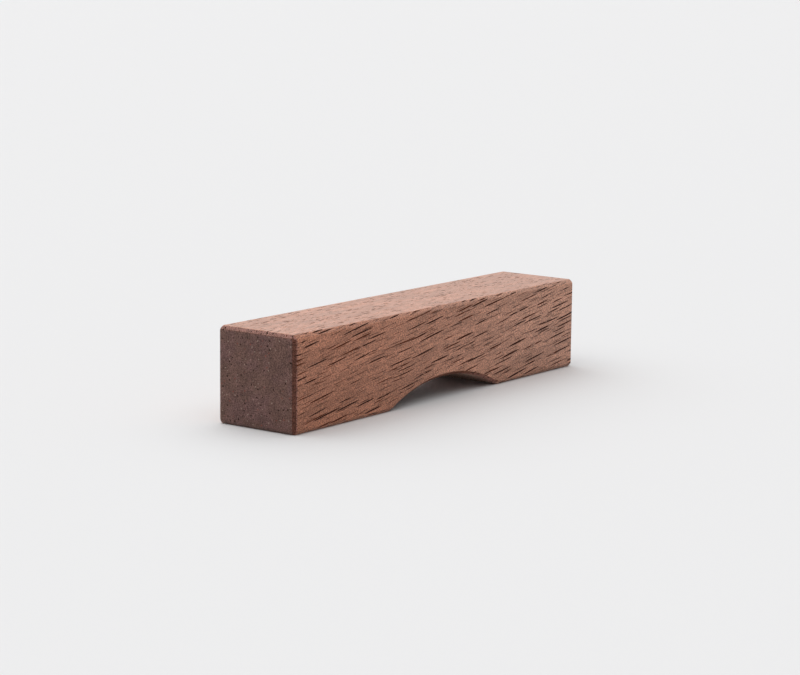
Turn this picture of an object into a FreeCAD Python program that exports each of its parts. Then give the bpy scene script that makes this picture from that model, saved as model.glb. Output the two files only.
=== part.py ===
"""Chopstick rest: a square bar of solid hardwood with a shallow arch cut from its underside.

The bar stands on the two flat feet that the arch leaves, and the chopsticks lie across its
flat top. It is one piece of wood, made as a joiner makes it: a square stick is cut to
length, the arch is cut through its underside from front to back, the corners where the
arch meets the feet are eased, and every outer edge is chamfered.

Millimetres, +Z up, +X along the bar and +Y across it. The origin is on the table, under the
middle of the bar.
"""

import FreeCAD, Part
import enum
import math
import os
import Sketcher

PARTS_FOLDER = "parts"

# Alias, size in millimetres, what it is.
SIZES = (
    ("bar_length", 60.0, "length of the stick, end to end"),
    ("bar_width", 12.0, "width of the stick, front to back"),
    ("bar_height", 12.0, "height of the stick, table to top face"),
    ("arch_span", 23.0, "width of the arch where it meets the table"),
    ("arch_rise", 2.8, "height of the arch at its crown"),
    ("arch_offset", 0.6, "how far the arch sits towards +X from the bar's middle"),
    ("arch_corner_radius", 2.0, "rounding where the arch meets each foot"),
    ("edge_chamfer", 0.5, "chamfer along every outer edge, arch included"),
)

# The arc that passes through both ends of the span and the crown.
ARCH_RADIUS = "(sizes.arch_span ^ 2 / 4 + sizes.arch_rise ^ 2) / (2 * sizes.arch_rise)"

SAME_PLACE = 1e-6  # points nearer than this, in millimetres, are the same
SAME_VOLUME = 1e-6  # volumes whose ratio is nearer to 1 than this are the same


class Axis(enum.IntEnum):
    """How a sketch numbers its own axes."""

    LEVEL = -1
    UPRIGHT = -2


class Point(enum.IntEnum):
    """How a sketch numbers the points of a line or an arc. A level axis starts at the origin."""

    START = 1
    END = 2
    CENTRE = 3


def write_sizes(doc):
    """The sheet of driving sizes: a name, a number and a note on each row."""
    sheet = doc.addObject("Spreadsheet::Sheet", "sizes")
    for row, (alias, size, note) in enumerate(SIZES, start=1):
        sheet.set(f"A{row}", alias)
        sheet.set(f"B{row}", str(size))
        sheet.set(f"C{row}", note)
        sheet.setAlias(f"B{row}", alias)
    doc.recompute()
    return sheet


def sketch_on(body, role, name):
    """An empty sketch on the body's own origin plane that has this role."""
    plane = next(p for p in body.Origin.OriginFeatures if p.Role == role)
    sketch = body.newObject("Sketcher::SketchObject", name)
    sketch.AttachmentSupport = [(plane, "")]
    sketch.MapMode = "FlatFace"
    return sketch


def constrain(sketch, kind, *where):
    """Adds a constraint that carries no size."""
    sketch.addConstraint(Sketcher.Constraint(kind, *where))


def drive(sketch, kind, where, value, name, formula):
    """Adds a constraint that carries a size, bound to the sheet by a formula."""
    sketch.addConstraint(Sketcher.Constraint(kind, *where, value))
    sketch.renameConstraint(sketch.ConstraintCount - 1, name)
    sketch.setExpression(f"Constraints.{name}", formula)


def draw_end_section(body, sheet):
    """The stick's square end, standing on the table and centred front to back."""
    sketch = sketch_on(body, "YZ_Plane", "end_section")
    front, back = -sheet.bar_width / 2, sheet.bar_width / 2
    corners = [
        FreeCAD.Vector(front, 0, 0),
        FreeCAD.Vector(back, 0, 0),
        FreeCAD.Vector(back, sheet.bar_height, 0),
        FreeCAD.Vector(front, sheet.bar_height, 0),
    ]
    base, back_side, top, front_side = range(len(corners))
    for side, corner in enumerate(corners):
        following = corners[(side + 1) % len(corners)]
        sketch.addGeometry(Part.LineSegment(corner, following))
    for side in (base, back_side, top, front_side):
        constrain(sketch, "Coincident", side, Point.END, (side + 1) % len(corners), Point.START)
    for side in (back_side, front_side):
        constrain(sketch, "Vertical", side)
    constrain(sketch, "Horizontal", top)
    constrain(sketch, "PointOnObject", base, Point.START, Axis.LEVEL)
    constrain(sketch, "Symmetric", base, Point.START, base, Point.END, Axis.UPRIGHT)
    across = (base, Point.START, base, Point.END)
    drive(sketch, "DistanceX", across, sheet.bar_width, "width", "sizes.bar_width")
    upward = (back_side, Point.START, back_side, Point.END)
    drive(sketch, "DistanceY", upward, sheet.bar_height, "height", "sizes.bar_height")
    return sketch


def draw_arch(body, sheet):
    """The arch seen from the front: an arc over a chord that lies along the base."""
    sketch = sketch_on(body, "XZ_Plane", "arch_outline")
    half_span = sheet.arch_span / 2
    radius = (half_span**2 + sheet.arch_rise**2) / (2 * sheet.arch_rise)
    centre = FreeCAD.Vector(sheet.arch_offset, sheet.arch_rise - radius, 0)
    first_angle = math.atan2(radius - sheet.arch_rise, half_span)
    circle = Part.Circle(centre, FreeCAD.Vector(0, 0, 1), radius)
    arc = sketch.addGeometry(Part.ArcOfCircle(circle, first_angle, math.pi - first_angle))
    left = FreeCAD.Vector(sheet.arch_offset - half_span, 0, 0)
    right = FreeCAD.Vector(sheet.arch_offset + half_span, 0, 0)
    chord = sketch.addGeometry(Part.LineSegment(left, right))
    constrain(sketch, "Coincident", arc, Point.END, chord, Point.START)
    constrain(sketch, "Coincident", chord, Point.END, arc, Point.START)
    constrain(sketch, "PointOnObject", chord, Point.START, Axis.LEVEL)
    constrain(sketch, "PointOnObject", chord, Point.END, Axis.LEVEL)
    along = (chord, Point.START, chord, Point.END)
    drive(sketch, "DistanceX", along, sheet.arch_span, "span", "sizes.arch_span")
    sideways = (Axis.LEVEL, Point.START, arc, Point.CENTRE)
    drive(sketch, "DistanceX", sideways, sheet.arch_offset, "offset", "sizes.arch_offset")
    drive(sketch, "Radius", (arc,), radius, "radius", ARCH_RADIUS)
    return sketch


def cut_stick(body, section):
    """The square stick, as long each way from its middle."""
    stick = body.newObject("PartDesign::Pad", "stick")
    stick.Profile = section
    stick.SideType = "Symmetric"
    stick.setExpression("Length", "sizes.bar_length")
    return stick


def cut_arch(body, outline):
    """The arch, cut right through the stick from front to back."""
    arch = body.newObject("PartDesign::Pocket", "arch")
    arch.Profile = outline
    arch.SideType = "Symmetric"
    arch.Type = "ThroughAll"
    return arch


def is_arch_edge(edge, sheet):
    """Whether an edge runs straight across the bar anywhere but at its two ends."""
    one, other = (vertex.Point for vertex in (edge.Vertexes[0], edge.Vertexes[-1]))
    runs_across = abs(one.x - other.x) < SAME_PLACE and abs(one.z - other.z) < SAME_PLACE
    return runs_across and abs(one.x) < sheet.bar_length / 2 - SAME_PLACE


def edge_names(shape, wanted):
    """The names of the edges of a shape that pass a test."""
    return [f"Edge{n}" for n, edge in enumerate(shape.Edges, start=1) if wanted(edge)]


def round_arch_corners(body, arch, sheet):
    """The two corners where the arch runs out into the feet, eased."""
    corners = body.newObject("PartDesign::Fillet", "arch_corners")
    corners.Base = (arch, edge_names(arch.Shape, lambda edge: is_arch_edge(edge, sheet)))
    corners.setExpression("Radius", "sizes.arch_corner_radius")
    return corners


def chamfer_edges(body, rounded, sheet):
    """Every outer edge chamfered. The seams of the rounded corners aren't edges to cut."""
    chamfer = body.newObject("PartDesign::Chamfer", "edge_chamfers")
    outer = edge_names(rounded.Shape, lambda edge: not is_arch_edge(edge, sheet))
    chamfer.Base = (rounded, outer)
    chamfer.setExpression("Size", "sizes.edge_chamfer")
    return chamfer


def check_arch_went_through(stick, arch, outline, sheet):
    """A cut that points away from the wood removes nothing and raises no error."""
    removed = stick.Shape.Volume - arch.Shape.Volume
    expected = Part.Face(outline.Shape.Wires[0]).Area * sheet.bar_width
    if abs(removed / expected - 1) > SAME_VOLUME:
        raise RuntimeError(f"the arch removed {removed:.3f} mm3, not {expected:.3f} mm3")


def make_rest_bar(doc, sheet):
    """The whole chopstick rest, one piece of wood."""
    body = doc.addObject("PartDesign::Body", "rest_bar")
    body.Label = "rest_bar"
    body.Placement = FreeCAD.Placement()
    section = draw_end_section(body, sheet)
    stick = cut_stick(body, section)
    outline = draw_arch(body, sheet)
    arch = cut_arch(body, outline)
    doc.recompute()
    check_arch_went_through(stick, arch, outline, sheet)
    rounded = round_arch_corners(body, arch, sheet)
    doc.recompute()
    chamfer_edges(body, rounded, sheet)
    doc.recompute()
    return body


def check_document(doc, bodies):
    """Stops at any failed object, and at any piece that isn't one sound solid."""
    for item in doc.Objects:
        if "Invalid" in item.State or "Error" in item.State:
            raise RuntimeError(f"{item.Label} failed: {item.State}")
    for body in bodies:
        if body.Shape.isNull() or not body.Shape.isValid() or len(body.Shape.Solids) != 1:
            raise RuntimeError(f"{body.Label} isn't one sound solid")


def write_parts(bodies):
    """One STEP file for each piece, named after it."""
    os.makedirs(PARTS_FOLDER, exist_ok=True)
    for body in bodies:
        body.Shape.exportStep(f"{PARTS_FOLDER}/{body.Label}.step")
        box = body.Shape.BoundBox
        size = f"{box.XLength:.3f} x {box.YLength:.3f} x {box.ZLength:.3f} mm"
        print(f"{body.Label}: {size}, {body.Shape.Volume / 1000:.3f} cm3")


doc = FreeCAD.newDocument("chopstick_rest")
sheet = write_sizes(doc)
pieces = [make_rest_bar(doc, sheet)]
check_document(doc, pieces)
write_parts(pieces)
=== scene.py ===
"""The chopstick rest as it looks: one bar of oiled hardwood with open pores, on a white table."""

import math

import bmesh
import bpy
from mathutils import Matrix, Vector


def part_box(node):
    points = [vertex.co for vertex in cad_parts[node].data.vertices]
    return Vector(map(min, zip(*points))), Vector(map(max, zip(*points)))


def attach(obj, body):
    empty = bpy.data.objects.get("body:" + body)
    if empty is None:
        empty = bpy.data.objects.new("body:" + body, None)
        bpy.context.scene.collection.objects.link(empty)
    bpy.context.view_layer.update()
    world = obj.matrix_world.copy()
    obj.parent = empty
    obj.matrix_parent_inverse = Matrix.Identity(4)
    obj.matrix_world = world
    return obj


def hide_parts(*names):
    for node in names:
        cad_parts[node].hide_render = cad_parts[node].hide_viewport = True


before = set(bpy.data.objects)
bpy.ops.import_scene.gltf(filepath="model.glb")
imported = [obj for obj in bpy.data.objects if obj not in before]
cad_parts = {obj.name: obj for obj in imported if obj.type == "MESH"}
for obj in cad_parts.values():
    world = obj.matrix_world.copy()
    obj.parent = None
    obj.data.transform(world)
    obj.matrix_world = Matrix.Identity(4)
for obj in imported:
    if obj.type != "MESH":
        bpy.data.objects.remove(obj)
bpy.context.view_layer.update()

MM = 0.001  # one millimetre, in metres

# The bar, as it is built. Its length, width and height come from the frame.
ARCH_SPAN = 23.0 * MM
ARCH_RISE = 2.8 * MM
ARCH_OFFSET = 0.6 * MM  # how far the arch sits towards +X from the bar's middle
ARCH_CORNER_RADIUS = 2.0 * MM
EDGE_CHAMFER = 0.5 * MM

# How its curves and edges are made.
LIGHT_CHAMFER = 0.8  # of a full one, along the underside and at the far end
CHAMFER_SOFTENING = 0.13 * MM  # rounding that sanding leaves on both edges of a chamfer
SOFTENING_STEPS = 3
ARCH_STEPS = 24  # flats that make up the arch's curve
CORNER_STEPS = 6  # flats that make up each rounded corner of the arch
SHARP_EDGE = math.radians(60)  # an edge that turns more than this gets a chamfer
CHAMFERED_EDGE = math.radians(20)  # an edge that turns more than this is then softened
BEVEL_WEIGHT = "bevel_weight_edge"  # the name that Blender's bevel looks for
TOUCH = 1e-7  # points nearer than this, in metres, are in line

# How the grain lies in the bar: along it, rising to the far end and slanting to the back.
GRAIN_RISE = math.radians(9)
GRAIN_SLANT = math.radians(2.4)
GRAIN_WAY = (
    math.cos(GRAIN_RISE) * math.cos(GRAIN_SLANT),
    math.cos(GRAIN_RISE) * math.sin(GRAIN_SLANT),
    math.sin(GRAIN_RISE),
)

# Patterns in the wood. Each one's size is in millimetres, along the grain and across it.
SLOW_SWAY = {"size": (16, 7), "detail": 1}
QUICK_SWAY = {"size": (2.2, 0.7), "detail": 1}
FIGURE = {"size": (24, 6), "detail": 2}
BANDS = {"size": (12, 1.1), "detail": 2}
FIBRES = {"size": (3.0, 0.2), "detail": 3}
TOP_STREAKS = {"size": (3.0, 0.3), "detail": 3, "roughness": 0.65}
END_MOTTLE = {"size": (8, 2.6), "detail": 2}
PORE_FADING = {"size": (2.4, 0.25), "detail": 1}
SPECKLE = {"size": (0.17, 0.13), "detail": 1}

# How wide each sway of the fibres is, in millimetres along the grain and both ways across it.
SLOW_REACH = (0, 0.2, 0.9)
QUICK_REACH = (0, 0.015, 0.045)
PATTERN_MIDDLE = (0.5, 0.5, 0.5)  # the pattern's colour where nothing is moved

# How much lighter and darker a pattern makes the wood, as a share of its colour.
FIGURE_DEPTH = 0.05
BANDS_DEPTH = 0.16
FIBRES_DEPTH = 0.12
SPECKLE_DEPTH = 0.5
SPECKLE_HUE = 0.15  # how far its red, green and blue each vary by themselves
CALM_TOP = 0.5  # the share of the speckle that the top loses

# Long tubes in the wood, in millimetres. The softness is half the width of a tube's soft edge.
# Where the narrowest radius is below nothing, only the widest of the tubes show.
LARGE_PORES = {"spacing": 0.34, "narrowest": 0.015, "widest": 0.1, "softness": 0.01}
SMALL_PORES = {"spacing": 0.26, "narrowest": 0.012, "widest": 0.055, "softness": 0.012}
TORN_PITS = {"spacing": 0.68, "narrowest": -0.25, "widest": 0.115, "softness": 0.025}
DUSTY_PORES = {"spacing": 0.57, "narrowest": -0.25, "widest": 0.08, "softness": 0.025}
TUBE_ROWS_TURN = math.radians(35)  # so that no row of tubes lies along a face
TUBE_SCATTER = 0.85  # 0 for even rows, 1 for none
SMALL_PORE_DARKNESS = 0.65  # where a large pore has 1

# Where one look turns into the next, by how squarely a face is cut across the grain, from 0 to 1.
SLANTING_CUT = (0.2, 0.4)
END_CUT = (0.6, 0.64)
FLAT_END_CUT = (0.755, 0.86)

# The same by how far a face looks up, from -1 to 1.
FACING_UP = (0.75, 0.95)
FACING_DOWN = (-0.2, -0.6)
PITTED_FACING = (0.3, 0.6)

# The same by where a point is, along the bar and above the table.
NEAR_TO_FAR = (-24 * MM, 24 * MM)
ABOVE_TABLE = (0.2 * MM, 0.6 * MM)

# Parts of a pattern that runs from 0 to 1.
WHOLE = (0.0, 1.0)
MIDDLE_HALF = (0.25, 0.75)
MIDDLE_PART = (0.3, 0.7)
MOTTLED_PART = (0.35, 0.65)
FADED_PART = (0.34, 0.4)

# How dark the pores are. Each large pore has a number of its own, from 0 to 1, and on the top
# and on the ends the pores are dark only where that number is high.
FADED_DARKNESS = (0.2, 1.0)
DARK_ON_TOP = (0.45, 0.7)
TOP_DARKNESS = (0.1, 0.9)
DARK_ON_ENDS = (0.82, 0.92)
END_DARKNESS = (0.06, 0.5)

# How deep they look. A high number makes a large pore look deep, and so does the far end.
SHALLOW_TO_DEEP = (0.15, 0.8)
FAR_DEEPER = 0.4
RED_TO_GREY_DUST = (0.4, 0.42)  # of a dusty pore's own number

# The colours of the wood.
# The near colour is the front's own. The far one adds an even pale grey to it, a painted reflection.
FRONT_NEAR = (0.4, 0.174, 0.108, 1)
FRONT_FAR_PAINTED_REFLECTION = (0.463, 0.238, 0.164, 1)
# The top's two streak colours are its grain. Both are painted a little lighter than the front's own
# colour, for the light that falls on the top.
TOP_DARK_PAINTED_LIT = (0.37, 0.115, 0.04, 1)
TOP_PALE_PAINTED_LIT = (0.56, 0.26, 0.165, 1)
# The inside of the arch is painted dark: painted shade, where little light reaches under the bar.
ARCH_PAINTED_SHADE = (0.11, 0.034, 0.016, 1)
SLANTING_GRAIN = (0.285, 0.138, 0.11, 1)
END_DARK = (0.142, 0.08, 0.066, 1)
END_PALE = (0.15, 0.083, 0.076, 1)
END_CHAMFER = (0.112, 0.045, 0.032, 1)
SHALLOW_PORE = (0.11, 0.027, 0.01, 1)
DEEP_PORE = (0.028, 0.005, 0.002, 1)
TORN_PIT = (0.025, 0.01, 0.006, 1)
RED_DUST = (0.24, 0.06, 0.042, 1)
GREY_DUST = (0.34, 0.25, 0.2, 1)

# The oiled surface.
SANDED_TO_OPEN = (0.3, 0.9)  # roughness, from the sanded wood to its pores and the arch's inside
OIL_IOR = 1.36
OIL_TINT = (0.5, 0.33, 0.27, 1)
SHEEN = 0.25
SHEEN_ROUGHNESS = 0.3
SHEEN_TINT = (1.0, 0.8, 0.66, 1)
PORE_DEPTH = 0.03 * MM
SPECKLE_HEIGHT = 0.1  # of a pore's depth

# A node that mixes has several inputs of one name, so its inputs and outputs go by number.
SHARE_IN = 0
SHADERS_IN = (1, 2)
NUMBERS_IN = (2, 3)
COLOURS_IN = (6, 7)
NUMBER_OUT = 0
COLOUR_OUT = 2

# The camera, from the perspective of the photograph.
CAMERA_PLACE = (-249.09 * MM, -185.15 * MM, 60.79 * MM)
CAMERA_TURN = math.radians(53.218)  # from +Y towards +X
CAMERA_TILT = math.radians(9.799)  # below the horizon
CAMERA_ROLL = math.radians(0.612)
SENSOR_WIDTH = 36.0  # in millimetres, as the focal length is
FOCAL_LENGTH = 110.56
NEAREST_SEEN = 0.01  # in metres, as the farthest is
FARTHEST_SEEN = 50.0

# The light: the room's own, and two soft lamps', each with a strength, a width and a direction.
ROOM_LIGHT = 0.323
ROOM_COLOUR = (1, 1, 1, 1)
LAMPS = {
    "overhead_light": (1.63, math.radians(120), (0.0, -0.2, -1.0)),
    "far_light": (0.87, math.radians(90), (-0.2, -0.7, -1.0)),
}

# The table and what is behind it.
TABLE_REACH = 12.0  # from its middle to each side, in metres
TABLE_WHITE = (0.8, 0.8, 0.805, 1)
TABLE_ROUGHNESS = 0.9
TABLE_GLOSS = 0.1
BACKDROP_WHITE = (0.87, 0.87, 0.875, 1)


# ---------------------------------------------------------------- the bar


def arch_stations():
    """Points along the underside, from the near foot to the far one: places along X and heights.

    The arch is one arc, and a smaller arc rounds each corner where it runs out into a foot.
    """
    half_span = ARCH_SPAN / 2
    radius = (half_span**2 + ARCH_RISE**2) / (2 * ARCH_RISE)
    centre = ARCH_RISE - radius
    corner = math.sqrt((radius + ARCH_CORNER_RADIUS) ** 2 - (ARCH_CORNER_RADIUS - centre) ** 2)
    lean = math.asin(corner / (radius + ARCH_CORNER_RADIUS))
    stations = []
    for step in range(CORNER_STEPS):
        turn = lean * step / CORNER_STEPS
        away = corner - ARCH_CORNER_RADIUS * math.sin(turn)
        height = ARCH_CORNER_RADIUS * (1 - math.cos(turn))
        stations += [(ARCH_OFFSET - away, height), (ARCH_OFFSET + away, height)]
    for step in range(ARCH_STEPS + 1):
        turn = lean * (2 * step / ARCH_STEPS - 1)
        stations.append((ARCH_OFFSET + radius * math.sin(turn), centre + radius * math.cos(turn)))
    return sorted(stations)


def cut_across(bm, x):
    """A cut right across the bar at x, which adds a station and takes nothing away."""
    everything = bm.verts[:] + bm.edges[:] + bm.faces[:]
    bmesh.ops.bisect_plane(bm, geom=everything, dist=TOUCH, plane_co=(x, 0, 0), plane_no=(1, 0, 0))


def lift_underside(bm, floor):
    """Cuts the bar across at each station, and lifts its underside there to the arch's height."""
    stations = arch_stations()
    for x, _ in stations:
        cut_across(bm, x)
    for x, height in stations:
        for vert in bm.verts:
            if abs(vert.co.x - x) < TOUCH and vert.co.z < floor + TOUCH:
                vert.co.z = floor + height


def mark_chamfers(bm, floor):
    """Marks every sharp edge for a chamfer, a lighter one low down and at the far end."""
    weight = bm.edges.layers.float.new(BEVEL_WEIGHT)
    highest = floor + ARCH_RISE + TOUCH
    far = max(vert.co.x for vert in bm.verts) - TOUCH
    for edge in bm.edges:
        if edge.calc_face_angle(0) > SHARP_EDGE:
            low_down = all(vert.co.z < highest for vert in edge.verts)
            at_far_end = all(vert.co.x > far for vert in edge.verts)
            edge[weight] = LIGHT_CHAMFER if low_down or at_far_end else 1.0


def finish_edges(bar):
    """Cuts the marked chamfers, softens their edges, and keeps the wide faces looking flat."""
    chamfer = bar.modifiers.new("chamfers", "BEVEL")
    chamfer.limit_method = "WEIGHT"
    chamfer.width = EDGE_CHAMFER
    chamfer.segments = 1
    sanding = bar.modifiers.new("sanding", "BEVEL")
    sanding.limit_method = "ANGLE"
    sanding.angle_limit = CHAMFERED_EDGE
    sanding.width = CHAMFER_SOFTENING
    sanding.segments = SOFTENING_STEPS
    flat = bar.modifiers.new("flat_faces", "WEIGHTED_NORMAL")
    flat.mode = "FACE_AREA"


def make_bar(name, node):
    """The bar: a square stick whose underside is raised into the arch, chamfered and sanded."""
    low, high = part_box(node)
    bm = bmesh.new()
    bmesh.ops.create_cube(bm, size=1.0)
    bmesh.ops.scale(bm, vec=high - low, verts=bm.verts)
    bmesh.ops.translate(bm, vec=(low + high) / 2, verts=bm.verts)
    lift_underside(bm, low.z)
    mark_chamfers(bm, low.z)
    mesh = bpy.data.meshes.new(name)
    bm.to_mesh(mesh)
    bm.free()
    mesh.shade_smooth()
    bar = bpy.data.objects.new(name, mesh)
    finish_edges(bar)
    bpy.context.scene.collection.objects.link(bar)
    return bar


# ---------------------------------------------------------------- nodes of a material


def put(tree, kind, inputs=None, **settings):
    """A node with its settings. Its inputs are numbers, colours or other nodes' outputs."""
    made = tree.nodes.new(kind)
    for name, value in settings.items():
        setattr(made, name, value)
    for name, value in (inputs or {}).items():
        socket = made.inputs[name]
        if isinstance(value, bpy.types.NodeSocket):
            tree.links.new(value, socket)
        else:
            socket.default_value = value
    return made


def number_from(tree, operation, *numbers):
    """The number that an operation makes of one number or two."""
    inputs = dict(enumerate(numbers))
    return put(tree, "ShaderNodeMath", inputs, operation=operation).outputs["Value"]


def product(tree, one, other):
    """Two numbers multiplied."""
    return number_from(tree, "MULTIPLY", one, other)


def larger(tree, one, other):
    """The larger of two numbers."""
    return number_from(tree, "MAXIMUM", one, other)


def vector_from(tree, operation, one, other):
    """What an operation makes of each part of two vectors or colours."""
    inputs = {0: one, 1: other}
    return put(tree, "ShaderNodeVectorMath", inputs, operation=operation).outputs["Vector"]


def shade(tree, colour, factor):
    """A colour made lighter or darker, by a factor."""
    inputs = {"Vector": colour, "Scale": factor}
    return put(tree, "ShaderNodeVectorMath", inputs, operation="SCALE").outputs["Vector"]


def ramp(tree, value, span, result=WHOLE):
    """A value spread smoothly from one range to another, and held at its ends."""
    inputs = {"Value": value, "From Min": span[0], "From Max": span[1]}
    inputs.update({"To Min": result[0], "To Max": result[1]})
    return put(tree, "ShaderNodeMapRange", inputs, interpolation_type="SMOOTHSTEP").outputs["Result"]


def number_mix(tree, share, one, other):
    """One number turning into the other as share goes from 0 to 1."""
    inputs = {SHARE_IN: share, NUMBERS_IN[0]: one, NUMBERS_IN[1]: other}
    return put(tree, "ShaderNodeMix", inputs, data_type="FLOAT").outputs[NUMBER_OUT]


def mix(tree, share, one, other):
    """One colour turning into the other as share goes from 0 to 1."""
    inputs = {SHARE_IN: share, COLOURS_IN[0]: one, COLOURS_IN[1]: other}
    return put(tree, "ShaderNodeMix", inputs, data_type="RGBA").outputs[COLOUR_OUT]


# ---------------------------------------------------------------- the wood


def cloudy(tree, place, size, detail, roughness=0.5):
    """A cloudy pattern drawn out along the grain, as a number from 0 to 1 and as a colour."""
    along, across = size
    scale = (1 / along, 1 / across, 1 / across)
    drawn_out = put(tree, "ShaderNodeMapping", {"Vector": place, "Scale": scale}).outputs["Vector"]
    inputs = {"Vector": drawn_out, "Scale": 1.0, "Detail": detail, "Roughness": roughness}
    pattern = put(tree, "ShaderNodeTexNoise", inputs).outputs
    return pattern["Fac"], pattern["Color"]


def swayed(tree, place, sway, reach):
    """The place moved to either side by a cloudy pattern, by up to half its reach."""
    _, cloud = cloudy(tree, place, **sway)
    centred = vector_from(tree, "SUBTRACT", cloud, PATTERN_MIDDLE)
    return vector_from(tree, "ADD", place, vector_from(tree, "MULTIPLY", centred, reach))


def grain_place(tree):
    """Millimetres along the grain (X) and across it (Y, Z), with the sway of real fibres."""
    place = put(tree, "ShaderNodeTexCoord").outputs["Object"]
    turn = {"Vector": place, "Rotation": (0, GRAIN_RISE, -GRAIN_SLANT), "Scale": (1 / MM,) * 3}
    straight = put(tree, "ShaderNodeMapping", turn).outputs["Vector"]
    slow = swayed(tree, straight, SLOW_SWAY, SLOW_REACH)
    return swayed(tree, slow, QUICK_SWAY, QUICK_REACH)


def surface_shares(tree):
    """How far each point of the surface has each look, from 0 to 1."""
    coordinates = put(tree, "ShaderNodeTexCoord").outputs
    spot = put(tree, "ShaderNodeSeparateXYZ", {"Vector": coordinates["Object"]}).outputs
    facing = put(tree, "ShaderNodeSeparateXYZ", {"Vector": coordinates["Normal"]}).outputs
    ways = {0: coordinates["Normal"], 1: GRAIN_WAY}
    along_grain = put(tree, "ShaderNodeVectorMath", ways, operation="DOT_PRODUCT").outputs["Value"]
    cut = number_from(tree, "ABSOLUTE", along_grain)
    slanting = ramp(tree, cut, SLANTING_CUT)
    flat_end = ramp(tree, cut, FLAT_END_CUT)
    downward = ramp(tree, facing["Z"], FACING_DOWN)
    pitted = product(tree, slanting, ramp(tree, facing["Z"], PITTED_FACING))
    return {
        "far": ramp(tree, spot["X"], NEAR_TO_FAR),
        "top": ramp(tree, facing["Z"], FACING_UP),
        # The arch's inside, which gets painted shade and is also made rougher.
        "arch": product(tree, downward, ramp(tree, spot["Z"], ABOVE_TABLE)),
        "slanting": slanting,
        "end": ramp(tree, cut, END_CUT),
        "flat_end": flat_end,
        "torn": larger(tree, pitted, flat_end),
    }


def tubes(tree, place, spacing, narrowest, widest, softness):
    """Long tubes along the grain, which show as dashes on the sides and dots at the ends.

    Gives how far a point is inside a tube, from 0 to 1, and a number of each tube's own.
    """
    axes = put(tree, "ShaderNodeSeparateXYZ", {"Vector": place}).outputs
    across = put(tree, "ShaderNodeCombineXYZ", {"X": axes["Y"], "Y": axes["Z"]}).outputs["Vector"]
    turn = {"Vector": across, "Rotation": (0, 0, TUBE_ROWS_TURN)}
    section = put(tree, "ShaderNodeMapping", turn).outputs["Vector"]
    inputs = {"Vector": section, "Scale": 1 / spacing, "Randomness": TUBE_SCATTER}
    cells = put(tree, "ShaderNodeTexVoronoi", inputs, voronoi_dimensions="2D", feature="F1").outputs
    own = put(tree, "ShaderNodeSeparateXYZ", {"Vector": cells["Color"]}).outputs
    radius = ramp(tree, own["X"], WHOLE, (narrowest / spacing, widest / spacing))
    inside = number_from(tree, "SUBTRACT", radius, cells["Distance"])
    return ramp(tree, inside, (-softness / spacing, softness / spacing)), own["Y"]


def around_one(depth):
    """The range of a factor that makes a colour darker and lighter by this share."""
    return 1 - depth, 1 + depth


def bare_wood(tree, place, share):
    """The wood's colour without its bands, speckle and pores, with painted light and shade in it: a
    painted reflection that makes the front paler towards the far end, a top painted a little
    lighter, and painted shade inside the arch.
    """
    # Painted reflection: the front turns paler towards the far end.
    front_with_painted_reflection = mix(tree, share["far"], FRONT_NEAR, FRONT_FAR_PAINTED_REFLECTION)
    streaks, _ = cloudy(tree, place, **TOP_STREAKS)
    # Painted light: the top is a little lighter than the front, for the light that falls on it.
    top = mix(tree, ramp(tree, streaks, MIDDLE_PART), TOP_DARK_PAINTED_LIT, TOP_PALE_PAINTED_LIT)
    long_grain = mix(tree, share["top"], front_with_painted_reflection, top)
    # Painted shade: the inside of the arch is darkened.
    long_grain = mix(tree, share["arch"], long_grain, ARCH_PAINTED_SHADE)
    long_grain = mix(tree, share["slanting"], long_grain, SLANTING_GRAIN)
    mottle, _ = cloudy(tree, place, **END_MOTTLE)
    end_grain = mix(tree, ramp(tree, mottle, MOTTLED_PART), END_DARK, END_PALE)
    end_grain = mix(tree, share["flat_end"], END_CHAMFER, end_grain)
    return mix(tree, share["end"], long_grain, end_grain)


def grain_factor(tree, place):
    """How much lighter or darker the growth bands, the fibres and the figure make the wood."""
    bands, _ = cloudy(tree, place, **BANDS)
    bands = ramp(tree, bands, MIDDLE_HALF, around_one(BANDS_DEPTH))
    fibres, _ = cloudy(tree, place, **FIBRES)
    fibres = ramp(tree, fibres, MIDDLE_HALF, around_one(FIBRES_DEPTH))
    figure, _ = cloudy(tree, place, **FIGURE)
    figure = ramp(tree, ramp(tree, figure, MIDDLE_PART), WHOLE, around_one(FIGURE_DEPTH))
    return product(tree, product(tree, bands, fibres), figure)


def speckled(tree, colour, place):
    """A colour with the wood's fine speckle, and the speckle as a number from 0 to 1."""
    speckle, hues = cloudy(tree, place, **SPECKLE)
    factor = ramp(tree, speckle, MIDDLE_HALF, around_one(SPECKLE_DEPTH))
    hues = vector_from(tree, "MULTIPLY", hues, (SPECKLE_HUE,) * 3)
    hues = vector_from(tree, "ADD", hues, (1 - SPECKLE_HUE / 2,) * 3)
    return shade(tree, vector_from(tree, "MULTIPLY", colour, hues), factor), speckle


def open_pores(tree, place, share):
    """How dark a pore is at each point, from 0 to 1, and its colour."""
    large, own = tubes(tree, place, **LARGE_PORES)
    small, _ = tubes(tree, place, **SMALL_PORES)
    fading, _ = cloudy(tree, place, **PORE_FADING)
    large = product(tree, large, ramp(tree, fading, FADED_PART, FADED_DARKNESS))
    dashes = larger(tree, large, product(tree, small, SMALL_PORE_DARKNESS))
    darkness = number_mix(tree, share["top"], 1.0, ramp(tree, own, DARK_ON_TOP, TOP_DARKNESS))
    on_ends = ramp(tree, own, DARK_ON_ENDS, END_DARKNESS)
    darkness = number_mix(tree, share["end"], darkness, on_ends)
    depth = number_from(tree, "ADD", own, product(tree, share["far"], FAR_DEEPER))
    colour = mix(tree, ramp(tree, depth, SHALLOW_TO_DEEP), SHALLOW_PORE, DEEP_PORE)
    return product(tree, dashes, darkness), colour


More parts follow.
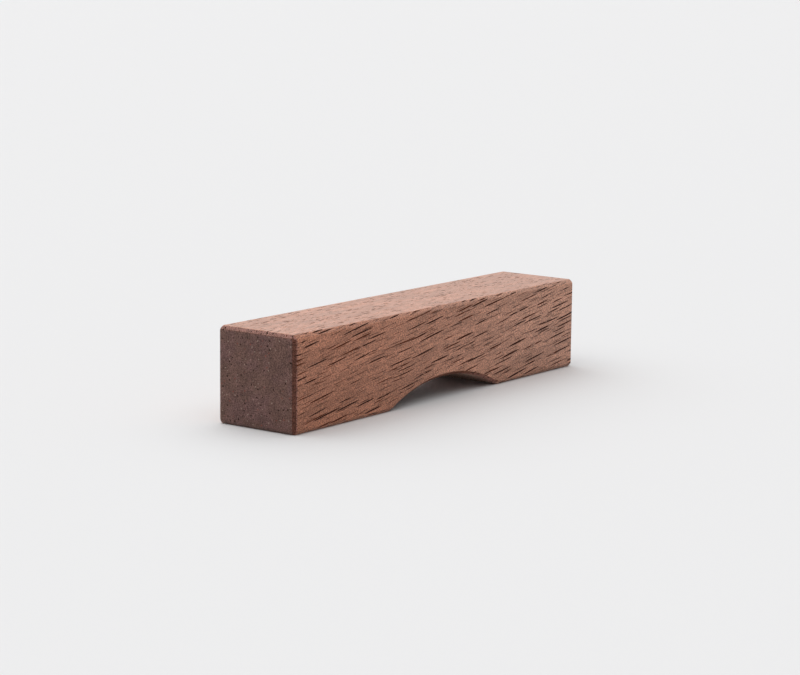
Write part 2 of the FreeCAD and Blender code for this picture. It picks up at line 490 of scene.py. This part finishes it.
def torn_pits(tree, place, share):
    """Where pits are torn in the flat end grain, and in slanting grain that faces up."""
    pits, _ = tubes(tree, place, **TORN_PITS)
    return product(tree, pits, share["torn"])


def dusty_pores(tree, place, share):
    """Where pores of the flat end grain are full of dust, and the dust's colour."""
    dust, own = tubes(tree, place, **DUSTY_PORES)
    colour = mix(tree, ramp(tree, own, RED_TO_GREY_DUST), RED_DUST, GREY_DUST)
    return product(tree, dust, share["flat_end"]), colour


def oiled_hardwood():
    """Dark reddish-brown hardwood, fine-sanded and lightly oiled, with open pores."""
    material = bpy.data.materials.new("oiled_hardwood")
    material.use_nodes = True
    tree = material.node_tree
    tree.nodes.clear()
    place = grain_place(tree)
    share = surface_shares(tree)

    colour = shade(tree, bare_wood(tree, place, share), grain_factor(tree, place))
    grained, speckle = speckled(tree, colour, place)
    colour = mix(tree, product(tree, share["top"], CALM_TOP), grained, colour)
    pores, pore_colour = open_pores(tree, place, share)
    colour = mix(tree, pores, colour, pore_colour)
    pits = torn_pits(tree, place, share)
    colour = mix(tree, pits, colour, TORN_PIT)
    dust, dust_colour = dusty_pores(tree, place, share)
    colour = mix(tree, dust, colour, dust_colour)

    holes = larger(tree, pores, pits)
    height = number_from(tree, "SUBTRACT", product(tree, speckle, SPECKLE_HEIGHT), holes)
    relief = put(tree, "ShaderNodeBump", {"Height": height, "Strength": 1.0, "Distance": PORE_DEPTH})
    finish = {
        "Base Color": colour,
        "Roughness": ramp(tree, larger(tree, holes, share["arch"]), WHOLE, SANDED_TO_OPEN),
        "IOR": OIL_IOR,
        "Specular Tint": OIL_TINT,
        "Sheen Weight": SHEEN,
        "Sheen Roughness": SHEEN_ROUGHNESS,
        "Sheen Tint": SHEEN_TINT,
        "Normal": relief.outputs["Normal"],
    }
    surface = put(tree, "ShaderNodeBsdfPrincipled", finish)
    put(tree, "ShaderNodeOutputMaterial", {"Surface": surface.outputs["BSDF"]})
    return material


# ---------------------------------------------------------------- table, light and camera


def plain_white(name, colour):
    """A matt paint."""
    material = bpy.data.materials.new(name)
    material.use_nodes = True
    surface = material.node_tree.nodes["Principled BSDF"]
    surface.inputs["Base Color"].default_value = colour
    surface.inputs["Roughness"].default_value = TABLE_ROUGHNESS
    surface.inputs["Specular IOR Level"].default_value = TABLE_GLOSS
    return material


def make_table():
    """A wide plain floor for the bar to stand on."""
    bm = bmesh.new()
    bmesh.ops.create_grid(bm, x_segments=1, y_segments=1, size=TABLE_REACH)
    mesh = bpy.data.meshes.new("table")
    bm.to_mesh(mesh)
    bm.free()
    mesh.materials.append(plain_white("table_white", TABLE_WHITE))
    table = bpy.data.objects.new("table", mesh)
    bpy.context.scene.collection.objects.link(table)


def light_room():
    """A white room that lights evenly, and looks as pale as the backdrop where it is seen."""
    world = bpy.data.worlds.new("studio")
    bpy.context.scene.world = world
    world.use_nodes = True
    tree = world.node_tree
    tree.nodes.clear()
    rays = put(tree, "ShaderNodeLightPath").outputs
    seen = larger(tree, rays["Is Camera Ray"], rays["Is Glossy Ray"])
    seen = larger(tree, seen, rays["Is Transmission Ray"])
    room = put(tree, "ShaderNodeBackground", {"Color": ROOM_COLOUR, "Strength": ROOM_LIGHT})
    backdrop = put(tree, "ShaderNodeBackground", {"Color": BACKDROP_WHITE, "Strength": 1.0})
    looks = {
        SHARE_IN: seen,
        SHADERS_IN[0]: room.outputs["Background"],
        SHADERS_IN[1]: backdrop.outputs["Background"],
    }
    shown = put(tree, "ShaderNodeMixShader", looks)
    put(tree, "ShaderNodeOutputWorld", {"Surface": shown.outputs["Shader"]})


def hang_lamps():
    """A very wide soft light overhead, and another from behind the bar."""
    for name, (strength, width, towards) in LAMPS.items():
        lamp = bpy.data.lights.new(name, "SUN")
        lamp.energy = strength
        lamp.angle = width
        light = bpy.data.objects.new(name, lamp)
        light.rotation_euler = Vector(towards).to_track_quat("-Z", "Y").to_euler()
        bpy.context.scene.collection.objects.link(light)


def place_camera():
    """The camera at the photograph's angle."""
    lens = bpy.data.cameras.new("camera")
    lens.sensor_width = SENSOR_WIDTH
    lens.lens = FOCAL_LENGTH
    lens.clip_start = NEAREST_SEEN
    lens.clip_end = FARTHEST_SEEN
    camera = bpy.data.objects.new("camera", lens)
    turned = (
        Matrix.Rotation(-CAMERA_TURN, 4, "Z")
        @ Matrix.Rotation(math.pi / 2 - CAMERA_TILT, 4, "X")
        @ Matrix.Rotation(CAMERA_ROLL, 4, "Z")
    )
    camera.matrix_world = Matrix.Translation(CAMERA_PLACE) @ turned
    bpy.context.scene.collection.objects.link(camera)
    bpy.context.scene.camera = camera


place_camera()
light_room()
hang_lamps()
make_table()
bar = make_bar("bar", "rest_bar")
bar.data.materials.append(oiled_hardwood())
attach(bar, "root")
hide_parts("rest_bar")
bpy.context.scene.view_settings.view_transform = "Standard"
